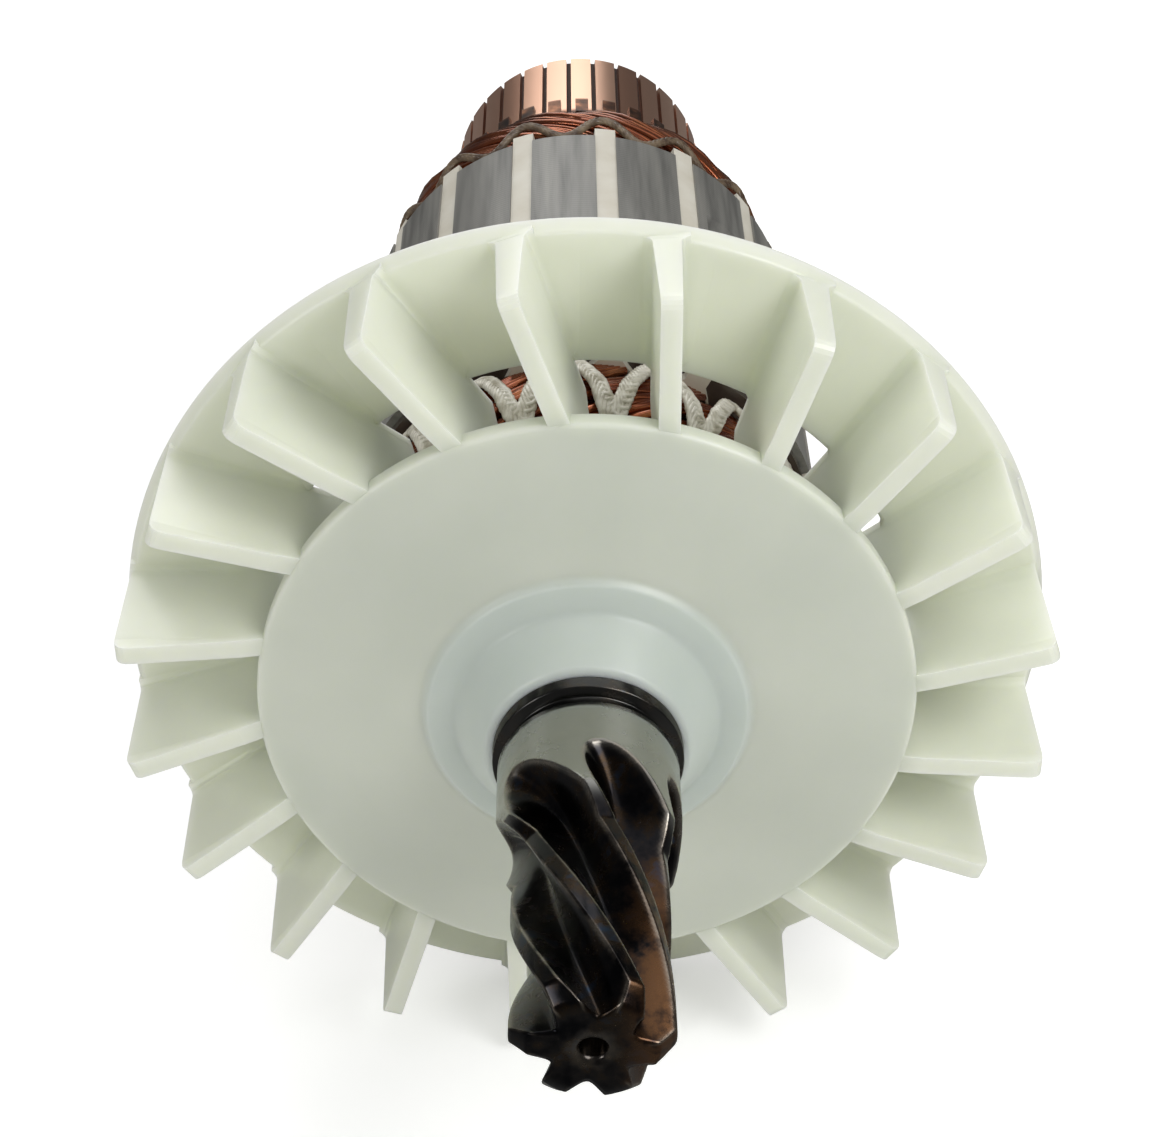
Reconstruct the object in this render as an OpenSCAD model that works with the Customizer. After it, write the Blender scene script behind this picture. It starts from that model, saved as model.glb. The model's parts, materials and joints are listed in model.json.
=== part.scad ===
// Armature of a large universal motor: shaft with a helical pinion, cooling fan,
// laminated core with lap windings, and a hook type commutator.
// Every module is drawn round the shaft axis, with z = 0 on the front face of the
// fan's shroud and +z towards the pinion. placed() turns the axis to lie along Y,
// pinion to -Y, with the origin on the axis at the rear edge of the front journal.

/* [Fan] */
// Outside diameter of the fan, over the rear edge of its shroud
fan_d = 91.6; // [88:0.4:96]
// Number of blades
blade_count = 20; // [12:1:22]
// How far the blade tips stand in front of the shroud
blade_h = 12.2; // [10:0.1:14]
// Blade thickness at the front edge
blade_t = 1.9; // [1.4:0.1:2.4]
// Blade thickness where it joins the shroud
blade_root_t = 2.7; // [2:0.1:3.2]
// Distance of each blade's middle plane from the shaft axis
blade_offset = 7.6; // [0:0.1:9]
// Direction of the first blade tip, clockwise from the top
blade_phase = 10; // [0:0.5:18]
// Diameter of the dish, and of the opening in the shroud behind it
dish_d = 63.6; // [58:0.2:68]

/* [Shaft] */
// Diameter of the front bearing journal
journal_d = 17; // [16:0.5:17.5]
// Diameter of the seat that the fan is pressed on
fan_seat_d = 18; // [18:0.1:18.6]
// Diameter of the rear bearing journal
rear_journal_d = 10; // [8:0.5:12]

/* [Pinion] */
// Number of helical teeth
tooth_count = 6; // [5:1:8]
// Diameter over the teeth
tip_d = 14; // [13:0.1:15.5]
// Diameter at the bottom of the flutes
root_d = 7.6; // [7:0.1:9]
// Length of one full turn of a tooth
tooth_lead = 90; // [70:1:140]

/* [Core] */
// Diameter of the lamination stack
core_d = 49.6; // [46:0.2:52]
// Length of the lamination stack
core_l = 46.6; // [36:0.2:48]
// Number of slots
slot_count = 16; // [16:1:16]
// Width of each slot's mouth
mouth_w = 2.4; // [2:0.1:3]

/* [Commutator] */
// Diameter of the brush track
track_d = 32.4; // [31:0.2:34]
// Length of the brush track
track_l = 15.4; // [12:0.2:18]
// Width of the insulation between neighbouring bars
bar_gap = 0.6; // [0.4:0.05:0.8]

/* [Hidden] */
$fn = 96;

// Stations along the axis
journal_z = 21.3;
groove_z = 19.8;
boss_z = 18.4;
runout_z = 26.8;
journal_end_z = 32.6;
pinion_z = 57;
dish_z = 11.3;
hub_back_z = -1.6;
core_front_z = -18.4;
core_rear_z = core_front_z - core_l;
plate_t = 1.2;
plate_setback = 0.8;
cuff_l = 1.2;
track_front_z = -92.2;
track_rear_z = track_front_z - track_l;
riser_l = 4;
riser_z = track_front_z + riser_l;
commutator_rear_z = track_rear_z - 1.4;
rear_collar_z = -117;
rear_end_z = -128;
sleeve_front_z = core_front_z + 12;
sleeve_rear_z = core_rear_z - 18;
core_seat_rear_z = core_rear_z - 20;

// Fan
fan_r = fan_d / 2;
eye_r = dish_d / 2;
shroud_t = 1.6;
dish_t = 2.0;
rim_chamfer = 0.5;
dish_fall = 0.6;
dish_rise = 0.9;
boss_step_r = 15.4;
boss_step_h = 1.6;
boss_land_r = 12.8;
boss_land_h = 2.2;
boss_collar_h = 3.4;
boss_slope = 0.8;
hub_r = 13.4;
shroud_edge = 0.3;
rim_flare = 0.8;
blade_tip_r = fan_r - rim_flare;
blade_inner_r = 24;
blade_sweep = 4;
blade_rim_gap = 0.05;
tip_round = 1.4;

// Shaft and pinion
sleeve_t = 1.5;
shaft_r = 7.5;
sleeve_r = shaft_r + sleeve_t;
commutator_seat_r = 6.5;
twist_rate = 360 / tooth_lead;
flute_phase = 12.5;
flute_phase_z = 28.1;
full_depth_z = 37;
flute_height = 5.2;
shoulder_slope = 0.5;
tooth_chamfer = 1.6;
journal_ease = 0.02;
run_out_step = 0.8;
tooth_step = 2;
relief_depth = 0.7;
centre_hole_r = 1.1;
centre_hole_depth = 4;
end_chamfer = 0.6;

// Core and slots
core_r = core_d / 2;
slot_pitch = 360 / slot_count;
slot_phase = 7.3;
slot_floor_r = 13.6;
slot_floor_round = 1.1;
slot_shoulder_r = 21.4;
slot_shoulder_half = 2.45;
neck_r = 22.9;
liner_t = 0.3;
wedge_r = 22.0;
wedge_top_r = core_r - 0.25;
cuffed_z = core_rear_z - plate_t - cuff_l;
cuffed_l = core_l + 2 * plate_t + 2 * cuff_l;

// Winding. A coil goes up one slot, over the core's end along an arch, and down
// the slot that is coil_span further on.
coil_span = 7;
layer_r = 17.3;
layer_gap = 0.3;
arch_centre_r = 17;
arch_bend_r = 3.4;
arch_leg = 6.5;
coil_half_depth = 2.1;
coil_fill = 0.86;
coil_section = [[-1, 0.8], [0, 1], [1, 0.7], [1, -0.7], [0, -1], [-1, -0.8]];

// Lacing cord, one zigzag round each end of the winding
cord_w = 1.2;
cord_h = 1.1;
cord_clearance = 0.12;
lacing_middle = 4.6;
lacing_swing = 3.8;

// Balance cut, ground across one tooth
balance_angle = 41;
balance_z = -50;
balance_l = 7;
balance_depth = 0.7;

// Commutator
bar_count = 2 * slot_count;
bar_pitch = 360 / bar_count;
track_r = track_d / 2;
bar_inner_r = 10.6;
undercut = 0.6;
bush_r = 7.6;
collar_setback = 2.4;
front_collar_l = 1.6;
hook_r = track_r + 1.5;
hook_t = 0.7;
hook_root = 0.9;
hook_half_angle = 2.6;

slot_names = [for (i = [1 : slot_count]) str("slot_wedge_", i < 10 ? "0" : "", i)];
bar_names = [for (i = [1 : bar_count]) str("commutator_bar_", i < 10 ? "0" : "", i)];

// Turns the shaft axis to lie along Y and brings the origin to the front journal.
module placed() {
    rotate([90, 0, 0])
        translate([0, 0, -journal_z])
            children();
}

module ring(r_out, r_in, z0, z1) {
    translate([0, 0, z0])
        linear_extrude(z1 - z0)
            difference() {
                circle(r_out);
                circle(r_in);
            }
}

module bar_of(r, z0, z1) {
    translate([0, 0, z0])
        cylinder(h = z1 - z0, r = r);
}

// ---------------------------------------------------------------- pinion

// Rise of a flute's surface above its floor, a degrees from its middle.
function flute_rise(a) = flute_height * pow(a / (180 / tooth_count), 2);

// The cutter leaves the flutes along an arc, from the root up to the journal.
cutter_run = full_depth_z - runout_z;
cutter_rise = (journal_d - root_d) / 2;
cutter_r = (cutter_run * cutter_run + cutter_rise * cutter_rise) / (2 * cutter_rise);
function flute_floor(z) = z >= full_depth_z
    ? root_d / 2
    : root_d / 2 + cutter_r - sqrt(max(0, cutter_r * cutter_r - pow(full_depth_z - z, 2)));

// Outside of the blank: journal, shoulder, teeth and the chamfer on their ends.
function blank_r(z) = z <= journal_end_z
    ? journal_d / 2
    : max(journal_d / 2 - (z - journal_end_z) * shoulder_slope, tip_d / 2)
      - max(0, z - (pinion_z - tooth_chamfer));

function tooth_r(a, z) = min(blank_r(z), flute_floor(z) + flute_rise(a)) - journal_ease;

// Shares of half a tooth pitch, from the middle of a flute to the middle of a crest.
half_tooth = [0, 0.2, 0.4, 0.6, 0.78, 1];
tooth_angles = concat(
    [for (k = [4 : -1 : 1]) -half_tooth[k]],
    half_tooth
);
pinion_stations = concat(
    [for (z = [runout_z - run_out_step : run_out_step : full_depth_z]) z],
    [for (z = [full_depth_z + tooth_step / 2 : tooth_step : pinion_z - tooth_chamfer - tooth_step / 4]) z],
    [pinion_z - tooth_chamfer, pinion_z - tooth_chamfer / 2, pinion_z]
);

function pinion_ring(z) = [
    for (t = [0 : tooth_count - 1], s = tooth_angles)
        let (
            step = 360 / tooth_count,
            a = s * step / 2,
            turn = 90 - flute_phase - twist_rate * (z - flute_phase_z) + t * step + a,
            r = tooth_r(abs(a), z)
        )
        [r * cos(turn), r * sin(turn), z]
];

// Closes a stack of rings, each listed anticlockwise, into a solid.
module skin(rings) {
    n = len(rings[0]);
    last = len(rings) - 1;
    points = [for (r = rings, p = r) p];
    sides = [
        for (k = [0 : last - 1], j = [0 : n - 1])
            [k * n + j, (k + 1) * n + j, (k + 1) * n + (j + 1) % n, k * n + (j + 1) % n]
    ];
    caps = [
        [for (j = [0 : n - 1]) j],
        [for (j = [n - 1 : -1 : 0]) last * n + j]
    ];
    polyhedron(points, concat(sides, caps), convexity = 6);
}

// ---------------------------------------------------------------- shaft

module shaft() {
    color([0.55, 0.55, 0.54])
    difference() {
        union() {
            bar_of(rear_journal_d / 2, rear_end_z + end_chamfer, rear_collar_z);
            translate([0, 0, rear_end_z])
                cylinder(h = end_chamfer, r1 = rear_journal_d / 2 - end_chamfer, r2 = rear_journal_d / 2);
            bar_of(commutator_seat_r, rear_collar_z, core_seat_rear_z);
            bar_of(shaft_r, core_seat_rear_z, sleeve_front_z);
            bar_of(fan_seat_d / 2, sleeve_front_z, groove_z);
            bar_of(journal_d / 2 - relief_depth, groove_z, journal_z);
            bar_of(journal_d / 2, journal_z, runout_z);
            skin([for (z = pinion_stations) pinion_ring(z)]);
        }
        bar_of(centre_hole_r, pinion_z - centre_hole_depth, pinion_z + 1);
        bar_of(centre_hole_r, rear_end_z - 1, rear_end_z + centre_hole_depth);
    }
}

module shaft_sleeve() {
    color([0.82, 0.76, 0.60])
        ring(sleeve_r, shaft_r, sleeve_rear_z, sleeve_front_z);
}

// ---------------------------------------------------------------- fan

// Section of the dish, boss and hub, from the bore outwards.
module fan_body_section() {
    polygon([
        [fan_seat_d / 2, hub_back_z],
        [hub_r, hub_back_z],
        [hub_r, dish_z - dish_t - dish_fall],
        [hub_r + 2 * dish_t, dish_z - dish_t],
        [eye_r, dish_z - dish_t],
        [eye_r, dish_z - rim_chamfer],
        [eye_r - rim_chamfer, dish_z],
        [boss_step_r + dish_fall, dish_z + dish_rise],
        [boss_step_r, dish_z + boss_step_h],
        [boss_land_r, dish_z + boss_land_h],
        [boss_land_r - boss_slope, dish_z + boss_collar_h],
        [fan_seat_d / 2 + boss_slope, boss_z - boss_slope / 2],
        [fan_seat_d / 2, boss_z]
    ]);
}

// Half section that all the blades are trimmed to.
module blade_envelope() {
    polygon([
        [blade_inner_r, dish_z - dish_t / 2],
        [blade_inner_r + blade_sweep, -shroud_t / 2],
        [blade_tip_r - blade_rim_gap, -shroud_t / 2],
        [blade_tip_r - blade_rim_gap, blade_h - tip_round],
        [blade_tip_r - tip_round / 3, blade_h - tip_round / 3],
        [blade_tip_r - tip_round, blade_h],
        [eye_r + dish_t, dish_z + dish_t / 10],
        [eye_r - dish_t, dish_z - dish_t / 5]
    ]);
}

module blade_blank() {
    translate([0, -blade_offset, 0])
        rotate([90, 0, 90])
            linear_extrude(fan_r + 1)
                polygon([
                    [-blade_root_t / 2, -shroud_t / 2],
                    [blade_root_t / 2, -shroud_t / 2],
                    [blade_t / 2, blade_h + tip_round],
                    [-blade_t / 2, blade_h + tip_round]
                ]);
}

module fan() {
    tip_angle = asin(blade_offset / blade_tip_r);
    color([0.88, 0.91, 0.84])
    union() {
        rotate_extrude()
            fan_body_section();
        rotate_extrude()
            polygon([
                [eye_r, -shroud_t],
                [fan_r - shroud_edge, -shroud_t],
                [fan_r, -shroud_t + shroud_edge],
                [blade_tip_r, -shroud_edge],
                [blade_tip_r - shroud_edge, 0],
                [eye_r, 0]
            ]);
        intersection() {
            rotate_extrude()
                blade_envelope();
            for (k = [0 : blade_count - 1])
                rotate([0, 0, 90 - blade_phase + tip_angle - k * 360 / blade_count])
                    blade_blank();
        }
    }
}

// ---------------------------------------------------------------- core

// One slot pointing along +x, its walls moved in by inset.
module slot_outline(inset, mouth_r) {
    half = slot_shoulder_half - inset;
    low = slot_floor_round - inset;
    translate([slot_floor_r, 0])
        circle(low, $fn = 32);
    polygon([
        [slot_floor_r, -low],
        [slot_shoulder_r, -half],
        [neck_r - inset * 0.5, -mouth_w / 2 + inset],
        [mouth_r, -mouth_w / 2 + inset],
        [mouth_r, mouth_w / 2 - inset],
        [neck_r - inset * 0.5, mouth_w / 2 - inset],
        [slot_shoulder_r, half],
        [slot_floor_r, low]
    ]);
}

module at_slot(i) {
    rotate([0, 0, 90 - slot_phase - i * slot_pitch])
        children();
}

module lamination(r_out) {
    difference() {
        circle(r_out);
        circle(sleeve_r);
        for (i = [0 : slot_count - 1])
            at_slot(i)
                slot_outline(0, core_r + 2);
    }
}

module core() {
    color([0.40, 0.40, 0.41])
    difference() {
        translate([0, 0, core_rear_z])
            linear_extrude(core_l)
                lamination(core_r);
        balance_cut();
    }
}

// Flat that is ground across a tooth, deepest at its middle.
module balance_cut() {
    wheel_r = (balance_l * balance_l / 4 + balance_depth * balance_depth) / (2 * balance_depth);
    rotate([0, 0, 90 - balance_angle])
        translate([core_r - balance_depth + wheel_r, 0, balance_z])
            rotate([90, 0, 0])
                cylinder(h = slot_shoulder_half * 2, r = wheel_r, center = true);
}

module end_plate(z) {
    color([0.80, 0.76, 0.66])
        translate([0, 0, z])
            linear_extrude(plate_t)
                lamination(core_r - plate_setback);
}

module end_plate_front() {
    end_plate(core_front_z);
}

module end_plate_rear() {
    end_plate(core_rear_z - plate_t);
}

module slot_liner() {
    difference() {
        intersection() {
            slot_outline(0, core_r);
            circle(wedge_r);
        }
        slot_outline(liner_t, core_r);
    }
}

module slot_liners() {
    color([0.90, 0.88, 0.80])
        translate([0, 0, cuffed_z])
            linear_extrude(cuffed_l)
                for (i = [0 : slot_count - 1])
                    at_slot(i)
                        slot_liner();
}

// Insulating strip that closes a slot's mouth.
module slot_wedge(i) {
    color([0.92, 0.90, 0.80])
        translate([0, 0, cuffed_z])
            linear_extrude(cuffed_l)
                at_slot(i)
                    intersection() {
                        slot_outline(0, wedge_top_r);
                        difference() {
                            circle(wedge_top_r);
                            circle(wedge_r);
                        }
                    }
}

// ---------------------------------------------------------------- winding

// Half width of a slot inside its liner, at a distance from the axis.
function coil_half_width(r) =
    let (
        low = slot_floor_round - liner_t,
        high = slot_shoulder_half - liner_t
    )
    low + (high - low) * (r - slot_floor_r) / (slot_shoulder_r - slot_floor_r);

side_round = 0.4;
top_half = slot_shoulder_half - liner_t - side_round;
top_r = slot_shoulder_r + side_round;
floor_half = (slot_floor_round - liner_t) / 2;
floor_r = slot_floor_r - (slot_floor_round - liner_t) * 0.86;

// Coil side in the upper and in the lower half of a slot that points along +x.
// Points run the same way round the coil as those of coil_section.
upper_side = [
    [layer_r + layer_gap, coil_half_width(layer_r + layer_gap)],
    [slot_shoulder_r, coil_half_width(slot_shoulder_r)],
    [top_r, top_half],
    [top_r, -top_half],
    [slot_shoulder_r, -coil_half_width(slot_shoulder_r)],
    [layer_r + layer_gap, -coil_half_width(layer_r + layer_gap)]
];
lower_side = [
    [layer_r, coil_half_width(layer_r)],
    [slot_floor_r, coil_half_width(slot_floor_r)],
    [floor_r, floor_half],
    [floor_r, -floor_half],
    [slot_floor_r, -coil_half_width(slot_floor_r)],
    [layer_r, -coil_half_width(layer_r)]
];

// Meridian of an end turn: [distance from the axis, height over the slots' ends]
// after s mm along its middle line, n mm away from the arch's centre.
turn_l = 2 * arch_leg + PI * arch_bend_r;
function turn_point(s, n) =
    s < arch_leg ? [arch_centre_r + arch_bend_r + n, s]
    : s > turn_l - arch_leg ? [arch_centre_r - arch_bend_r - n, turn_l - s]
    : let (bend = (s - arch_leg) / (PI * arch_bend_r) * 180)
      [
          arch_centre_r + (arch_bend_r + n) * cos(bend),
          arch_leg + (arch_bend_r + n) * sin(bend)
      ];

// Angle that a coil has turned after s mm. It leaves and enters the slots gently.
function turn_angle(s) = coil_span * slot_pitch * (s / turn_l - sin(360 * s / turn_l) / 14);

turn_steps = concat(
    [for (k = [1 : 2]) k * arch_leg / 3],
    [for (k = [0 : 8]) arch_leg + k * PI * arch_bend_r / 8],
    [for (k = [1 : 2]) turn_l - arch_leg + k * arch_leg / 3]
);

function turned(r, angle, z) = [r * cos(angle), r * sin(angle), z];

function side_ring(side, angle, z) = [
    for (p = side)
        turned(norm(p), angle + atan2(p[1], p[0]), z)
];

function turn_ring(angle, s, z0, facing) = [
    for (c = coil_section)
        let (p = turn_point(s, c[0] * coil_half_depth))
        turned(p[0], angle + turn_angle(s) + c[1] * coil_fill * slot_pitch / 2, z0 + facing * p[1])
];

// Rings of coil i, once round.
function coil_rings(i) =
    let (
        start = 90 - slot_phase - i * slot_pitch,
        end = start + coil_span * slot_pitch,
        front_z = cuffed_z + cuffed_l,
        last = len(turn_steps) - 1
    )
    concat(
        [side_ring(upper_side, start, cuffed_z), side_ring(upper_side, start, front_z)],
        [for (s = turn_steps) turn_ring(start, s, front_z, 1)],
        [side_ring(lower_side, end, front_z), side_ring(lower_side, end, cuffed_z)],
        [for (k = [last : -1 : 0]) turn_ring(start, turn_steps[k], cuffed_z, -1)]
    );

// Skins one or more loops of rings that each run back into their first ring.
module closed_loops(loops) {
    rows = len(loops[0]);
    n = len(loops[0][0]);
    points = [for (loop = loops, r = loop, p = r) p];
    faces = [
        for (l = [0 : len(loops) - 1], k = [0 : rows - 1], j = [0 : n - 1])
            let (
                a = (l * rows + k) * n,
                b = (l * rows + (k + 1) % rows) * n,
                next = (j + 1) % n
            )
            for (t = [[a + j, b + next, b + j], [a + j, a + next, b + next]])
                t
    ];
    polyhedron(points, faces, convexity = 8);
}

module winding() {
    color([0.48, 0.20, 0.11])
        closed_loops([for (i = [0 : slot_count - 1]) coil_rings(i)]);
}

// Cord that zigzags over the end turns, flat on their outside.
cord_section = [[-1, 0], [-0.8, 0.7], [-0.3, 1], [0.3, 1], [0.8, 0.7], [1, 0]];

function cord_ring(step, steps, z0, facing) =
    let (
        around = 360 * step / steps,
        wave = slot_count * around,
        rise = -lacing_swing * sin(wave) * slot_count / (arch_centre_r + arch_bend_r + coil_half_depth),
        slant = sqrt(1 + rise * rise)
    )
    [
        for (c = cord_section)
            let (
                across = c[0] * cord_w / 2,
                s = lacing_middle + lacing_swing * cos(wave) + across / slant,
                p = turn_point(s, coil_half_depth + cord_clearance + c[1] * cord_h),
                aside = -across * rise / slant / p[0] * 180 / PI
            )
            turned(p[0], 90 - slot_phase + around + aside, z0 + facing * p[1])
    ];

module lacing(z0, facing) {
    steps = 8 * slot_count;
    color([0.90, 0.88, 0.80])
        closed_loops([[for (k = [0 : steps - 1]) cord_ring(facing * k, steps, z0, facing)]]);
}

module lacing_front() {
    lacing(cuffed_z + cuffed_l, 1);
}

module lacing_rear() {
    lacing(cuffed_z, -1);
}

// ---------------------------------------------------------------- commutator

// The wedge of one bar, with its sides set back from the pitch lines by half a gap.
module bar_wedge(reach) {
    half = bar_pitch / 2;
    start = bar_gap / 2 / sin(half);
    polygon([
        [start, 0],
        [start + reach * cos(half), -reach * sin(half)],
        [start + reach * cos(half), reach * sin(half)]
    ]);
}

module at_bar(i) {
    rotate([0, 0, 90 - slot_phase - (i + 0.5) * bar_pitch])
        children();
}

module bar_section(r_out) {
    intersection() {
        difference() {
            circle(r_out);
            circle(bar_inner_r);
        }
        bar_wedge(hook_r * 2);
    }
}

module commutator_bar(i) {
    color([0.86, 0.58, 0.42])
    at_bar(i)
    union() {
        translate([0, 0, track_rear_z])
            linear_extrude(track_l + riser_l)
                bar_section(track_r);
        rotate([0, 0, -hook_half_angle])
            rotate_extrude(angle = 2 * hook_half_angle)
                polygon([
                    [track_r - hook_root, riser_z - hook_root],
                    [track_r - hook_root, riser_z + hook_root],
                    [hook_r - hook_t, riser_z + hook_root],
                    [hook_r, riser_z + hook_root / 2],
                    [hook_r, track_front_z + hook_t],
                    [hook_r - hook_t, track_front_z + hook_t],
                    [hook_r - hook_t, riser_z]
                ]);
    }
}

module commutator_hub() {
    color([0.25, 0.14, 0.09])
    union() {
        translate([0, 0, track_rear_z])
            linear_extrude(track_l + riser_l)
                difference() {
                    circle(track_r - undercut);
                    circle(bush_r);
                    for (i = [0 : bar_count - 1])
                        at_bar(i)
                            bar_section(hook_r);
                }
        ring(track_r - collar_setback, bush_r, commutator_rear_z, track_rear_z);
        ring(track_r - collar_setback, bush_r, riser_z, riser_z + front_collar_l);
    }
}

module commutator_bush() {
    color([0.62, 0.60, 0.56])
        ring(bush_r, commutator_seat_r, commutator_rear_z, riser_z + front_collar_l);
}

// ---------------------------------------------------------------- assembly

placed() shaft();
placed() shaft_sleeve();
placed() fan();
placed() core();
placed() end_plate_front();
placed() end_plate_rear();
placed() winding();
placed() slot_liners();
placed() lacing_front();
placed() lacing_rear();
placed() commutator_hub();
placed() commutator_bush();
for (i = [0 : slot_count - 1])
    placed() slot_wedge(i);
for (i = [0 : bar_count - 1])
    placed() commutator_bar(i);
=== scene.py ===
# %% [markdown]
# # Armature of a universal motor
#
# The object is the rotor of a large power tool. A steel shaft carries a helical pinion, a
# moulded nylon fan, a laminated core wound with enamelled wire, and a copper commutator.
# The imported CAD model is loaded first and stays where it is. The script then gives each CAD
# solid its finish, and models what a solid can't hold: single wires, cords and soft edges.

# %% Load the frame
import json
import math
import bmesh
import bpy
import numpy as np
from mathutils import Matrix, Vector


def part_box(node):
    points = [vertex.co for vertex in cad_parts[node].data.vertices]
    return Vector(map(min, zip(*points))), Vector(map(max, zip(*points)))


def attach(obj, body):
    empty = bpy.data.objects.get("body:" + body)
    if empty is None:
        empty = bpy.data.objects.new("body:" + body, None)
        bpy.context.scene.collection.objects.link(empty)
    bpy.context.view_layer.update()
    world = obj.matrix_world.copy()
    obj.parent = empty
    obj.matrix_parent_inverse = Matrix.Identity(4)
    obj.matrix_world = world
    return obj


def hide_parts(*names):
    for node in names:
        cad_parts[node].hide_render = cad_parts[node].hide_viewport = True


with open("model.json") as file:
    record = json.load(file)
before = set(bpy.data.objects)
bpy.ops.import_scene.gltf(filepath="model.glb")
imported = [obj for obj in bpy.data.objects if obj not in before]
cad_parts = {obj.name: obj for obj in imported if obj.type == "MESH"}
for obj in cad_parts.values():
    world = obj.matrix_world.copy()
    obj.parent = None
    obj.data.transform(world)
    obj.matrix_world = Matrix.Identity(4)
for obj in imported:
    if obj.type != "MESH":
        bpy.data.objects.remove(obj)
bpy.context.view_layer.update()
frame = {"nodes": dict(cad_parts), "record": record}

# %% [markdown]
# The shaft lies along Y with the pinion towards -Y. Everything on an armature is turned round
# that axis, so a place is easiest to give as a radius, an angle and a distance ahead of the
# fan's shroud. `spot` turns those three into a point. Angles run clockwise from the top, as
# seen by someone who faces the pinion.

# %% Places on the shaft
MM = 0.001
fan_low, fan_high = (Vector(corner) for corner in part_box("fan"))
RIM_FLARE = 0.8 * MM
FAN_R = (fan_high.x - fan_low.x) / 2
BLADE_TIP_R = FAN_R - RIM_FLARE
SHROUD_THICK = 1.6 * MM
SHROUD_Y = fan_high.y - SHROUD_THICK


def spot(radius, angle, ahead):
    """Point at a radius, an angle clockwise from the top, and a distance ahead of the shroud."""
    return Vector((radius * math.sin(angle), SHROUD_Y - ahead, radius * math.cos(angle)))


def ahead_of(node, front=True):
    """Front or rear end of a CAD node, as a distance ahead of the shroud."""
    low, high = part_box(node)
    return SHROUD_Y - (low[1] if front else high[1])


core_front, core_rear = ahead_of("core"), ahead_of("core", False)
print("fan radius mm", round(FAN_R / MM, 1))
print("core mm", round(core_rear / MM, 1), round(core_front / MM, 1))

# %% [markdown]
# ## Camera
#
# A camera comes first, so that every later step can be judged from the right side. It stands
# close in front of the pinion and above it, as someone does who holds the armature at arm's
# length, so the near end looks far larger than the commutator. The lens is a short telephoto.

# %% Camera
SENSOR_W = 36.0
FOCAL_IN_WIDTHS = 2.1077
CAMERA_ELEVATION = math.radians(36.0)
CAMERA_DISTANCE = 5.49 * BLADE_TIP_R
AIM_ROLL = math.radians(-0.92)
SHIFT = (-0.0011, 0.0601)

stand = Vector((0, SHROUD_Y, 0)) + CAMERA_DISTANCE * Vector(
    (0, -math.cos(CAMERA_ELEVATION), math.sin(CAMERA_ELEVATION))
)
camera_data = bpy.data.cameras.new("camera")
camera_data.sensor_width = SENSOR_W
camera_data.lens = SENSOR_W * FOCAL_IN_WIDTHS
camera_data.clip_start = 0.01
camera_data.shift_x, camera_data.shift_y = SHIFT
camera = bpy.data.objects.new("camera", camera_data)
bpy.context.collection.objects.link(camera)
tilt = math.pi / 2 - CAMERA_ELEVATION
camera.matrix_world = (
    Matrix.Translation(stand) @ Matrix.Rotation(tilt, 4, "X") @ Matrix.Rotation(AIM_ROLL, 4, "Z")
)
bpy.context.scene.camera = camera
print("lens mm", round(camera_data.lens, 1), "distance mm", round(CAMERA_DISTANCE / MM))

# %% [markdown]
# ## Helpers for materials and node trees
#
# Colours are written as the sRGB hex values a picture editor shows, and one function turns
# them to the linear values that Blender renders with. Another adds a node with its settings
# and its links in one line, for shader trees and geometry trees alike.

# %% Colours and nodes


def srgb(text):
    """Hex colour such as 'C8C2B6' to linear RGBA."""
    def line(v):
        return v / 12.92 if v <= 0.04045 else ((v + 0.055) / 1.055) ** 2.4
    return tuple(line(int(text[i:i + 2], 16) / 255) for i in (0, 2, 4)) + (1.0,)


def add(tree, kind, inputs=None, **settings):
    """Adds a node. A value in inputs that is a socket is linked, any other is set."""
    node = tree.nodes.new(kind)
    for key, value in settings.items():
        setattr(node, key, value)
    for key, value in (inputs or {}).items():
        if isinstance(value, bpy.types.NodeSocket):
            tree.links.new(value, node.inputs[key])
        else:
            node.inputs[key].default_value = value
    return node


def new_material(name, **values):
    """A material with one Principled BSDF, its sockets set from values."""
    material = bpy.data.materials.new(name)
    material.use_nodes = True
    shader = material.node_tree.nodes["Principled BSDF"]
    for key, value in values.items():
        shader.inputs[key.replace("_", " ")].default_value = value
    return material, material.node_tree, shader


def ramp(tree, factor, *stops):
    """Colour ramp over (position, colour) stops."""
    node = add(tree, "ShaderNodeValToRGB", {"Fac": factor})
    elements = node.color_ramp.elements
    while len(elements) < len(stops):
        elements.new(0.5)
    for element, (position, colour) in zip(elements, stops):
        element.position = position
        element.color = colour
    return node.outputs["Color"]


def object_point(tree, scale=1.0, stretch=(1, 1, 1)):
    """Object coordinates in units of 1/scale metres, stretched along X, Y and Z."""
    place = add(tree, "ShaderNodeTexCoord")
    size = tuple(scale * s for s in stretch)
    return add(tree, "ShaderNodeMapping", {"Vector": place.outputs["Object"], "Scale": size}).outputs[0]


def noise(tree, point, scale=1.0, detail=3.0, roughness=0.5):
    """Noise value over a point."""
    return add(
        tree, "ShaderNodeTexNoise",
        {"Vector": point, "Scale": scale, "Detail": detail, "Roughness": roughness},
    ).outputs["Fac"]


def blend(tree, factor, a, b):
    """Mixes two colours, each a socket or a constant."""
    node = add(tree, "ShaderNodeMix", data_type="RGBA")
    for value, place in ((factor, 0), (a, 6), (b, 7)):
        if isinstance(value, bpy.types.NodeSocket):
            tree.links.new(value, node.inputs[place])
        else:
            node.inputs[place].default_value = value
    return node.outputs[2]


def place_mm(tree, axis):
    """Object coordinate along X, Y or Z, in mm."""
    place = add(tree, "ShaderNodeTexCoord")
    value = add(tree, "ShaderNodeSeparateXYZ", {"Vector": place.outputs["Object"]}).outputs[axis]
    return add(tree, "ShaderNodeMath", {0: value, 1: 1 / MM}, operation="MULTIPLY").outputs[0]


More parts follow.
